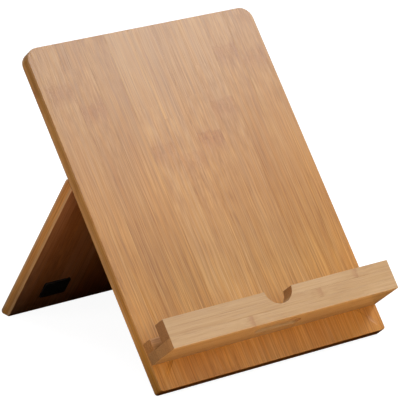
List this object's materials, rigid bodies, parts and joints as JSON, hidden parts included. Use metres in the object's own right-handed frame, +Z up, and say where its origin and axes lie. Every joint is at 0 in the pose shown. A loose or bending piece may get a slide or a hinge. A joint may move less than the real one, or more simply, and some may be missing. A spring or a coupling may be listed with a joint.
{
  "type": "folding tablet stand",
  "caption": "Folding tablet stand: a leaning board with a grooved ledge, half-round notch and cable slot, propped by a full-width rear leg that folds flat on hidden hinges.",
  "frame": {"origin": "on the table under the middle of the open stand's box", "axes": "+X to the viewer's right across the stand, +Y from the front to the back, +Z up"},
  "size_m": [0.2, 0.2186, 0.211],
  "materials": {
    "bamboo_board": "satin clear lacquer over laminated bamboo strips",
    "bamboo_dowel": "bare",
    "hinge_brass": "satin plated",
    "screw_steel": "zinc plated",
    "bumper_rubber": "matte fine-celled"
  },
  "bodies": {
    "easel": {"front_panel": "bamboo_board", "ledge_shelf": "bamboo_board", "ledge_lip": "bamboo_board", "ledge_back_rail": "bamboo_board", "ledge_screws": "screw_steel", "lip_dowels": "bamboo_dowel", "rail_dowels": "bamboo_dowel", "hinge_left_panel_leaf": "hinge_brass", "hinge_left_pin": "hinge_brass", "hinge_left_panel_screws": "hinge_brass", "hinge_right_panel_leaf": "hinge_brass", "hinge_right_pin": "hinge_brass", "hinge_right_panel_screws": "hinge_brass"},
    "leg": {"rear_leg": "bamboo_board", "hinge_left_leg_leaf": "hinge_brass", "hinge_left_leg_screws": "hinge_brass", "bumper_pad_left": "bumper_rubber", "hinge_right_leg_leaf": "hinge_brass", "hinge_right_leg_screws": "hinge_brass", "bumper_pad_right": "bumper_rubber"}
  },
  "joints": [
    {"name": "leg_fold", "type": "hinge", "parent": "easel", "child": "leg", "pos_m": [0, 0.01232, 0.1195], "axis": [-1, 0, 0], "range_deg": [0, 74.1]}
  ]
}
